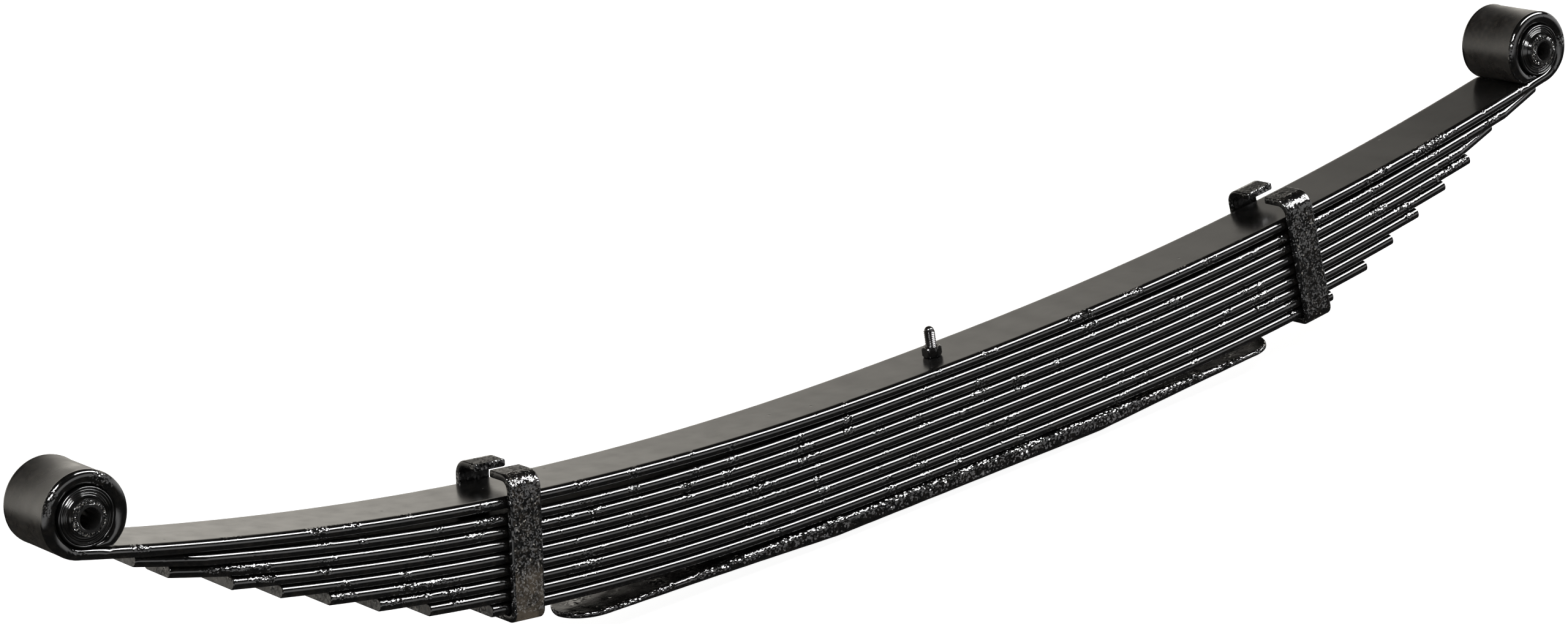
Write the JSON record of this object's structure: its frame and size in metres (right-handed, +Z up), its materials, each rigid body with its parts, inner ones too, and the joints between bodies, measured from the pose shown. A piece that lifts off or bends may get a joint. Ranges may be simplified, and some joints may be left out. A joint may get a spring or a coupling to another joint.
{
  "type": "leaf spring",
  "caption": "Multi-leaf vehicle suspension spring with rolled eyes, rubber bushes, rebound clips, a centre bolt and a thick tapered overload leaf.",
  "frame": {"origin": "middle of the length and width, on the floor plane that the centre bolt's head stands on", "axes": "+X along the spring towards the rear eye, +Y across the leaves, +Z up, from the axle seat towards the eyes"},
  "size_m": [1.5317, 0.0776, 0.2718],
  "materials": {
    "leaf_enamel": "gloss black enamel with orange peel",
    "clip_enamel": "black enamel over coarse forged steel",
    "fastener_enamel": "semi-gloss black enamel over steel",
    "bush_steel": "gloss black enamel over machined steel tube",
    "bush_rubber": "shiny black moulded rubber"
  },
  "bodies": {
    "leaf_pack": {"main_leaf": "leaf_enamel", "leaf_2": "leaf_enamel", "leaf_3": "leaf_enamel", "leaf_4": "leaf_enamel", "leaf_5": "leaf_enamel", "leaf_6": "leaf_enamel", "leaf_7": "leaf_enamel", "leaf_8": "leaf_enamel", "leaf_9": "leaf_enamel", "overload_leaf": "leaf_enamel", "centre_bolt": "fastener_enamel", "centre_nut": "fastener_enamel"},
    "front_eye": {"front_bush_shell": "bush_steel", "front_bush_rubber": "bush_rubber"},
    "rear_eye": {"rear_bush_shell": "bush_steel", "rear_bush_rubber": "bush_rubber"},
    "front_clip_body": {"front_clip": "clip_enamel", "front_clip_rivet": "fastener_enamel"},
    "rear_clip_body": {"rear_clip": "clip_enamel", "rear_clip_rivet": "fastener_enamel"},
    "front_sleeve": {"front_bush_sleeve": "bush_steel"},
    "rear_sleeve": {"rear_bush_sleeve": "bush_steel"}
  },
  "joints": [
    {"name": "flex", "type": "hinge", "parent": "leaf_pack", "child": "front_eye", "pos_m": [0.04999, 0, 0.10675], "axis": [0, -1, 0], "range_deg": [-1, 2.6], "stiffness_Nm_per_rad": 40000, "deforming": ["main_leaf", "leaf_2", "leaf_3", "leaf_4", "leaf_5", "leaf_6", "leaf_7", "leaf_8", "leaf_9", "overload_leaf"]},
    {"name": "rear_flex", "type": "hinge", "parent": "front_eye", "child": "rear_eye", "pos_m": [0.04999, 0, 0.10675], "axis": [0, -1, 0], "range_deg": [-5.2, 2]},
    {"name": "front_clip_ride", "type": "hinge", "parent": "leaf_pack", "child": "front_clip_body", "pos_m": [-0.12288, 0, 0.10082], "axis": [0, -1, 0], "range_deg": [-1.4, 3.65]},
    {"name": "rear_clip_ride", "type": "hinge", "parent": "leaf_pack", "child": "rear_clip_body", "pos_m": [0.21395, 0, 0.09626], "axis": [0, -1, 0], "range_deg": [-3.51, 1.35]},
    {"name": "front_bush_twist", "type": "hinge", "parent": "front_eye", "child": "front_sleeve", "pos_m": [-0.73339, 0, 0.2394], "axis": [0, 1, 0], "range_deg": [-20, 20], "stiffness_Nm_per_rad": 60},
    {"name": "rear_bush_twist", "type": "hinge", "parent": "rear_eye", "child": "rear_sleeve", "pos_m": [0.73339, 0, 0.19268], "axis": [0, 1, 0], "range_deg": [-20, 20], "stiffness_Nm_per_rad": 60}
  ],
  "couplings": [
    {"joint": "rear_flex", "follows": "flex", "ratio": -2},
    {"joint": "front_clip_ride", "follows": "flex", "ratio": 1.403},
    {"joint": "rear_clip_ride", "follows": "flex", "ratio": -1.3512}
  ]
}
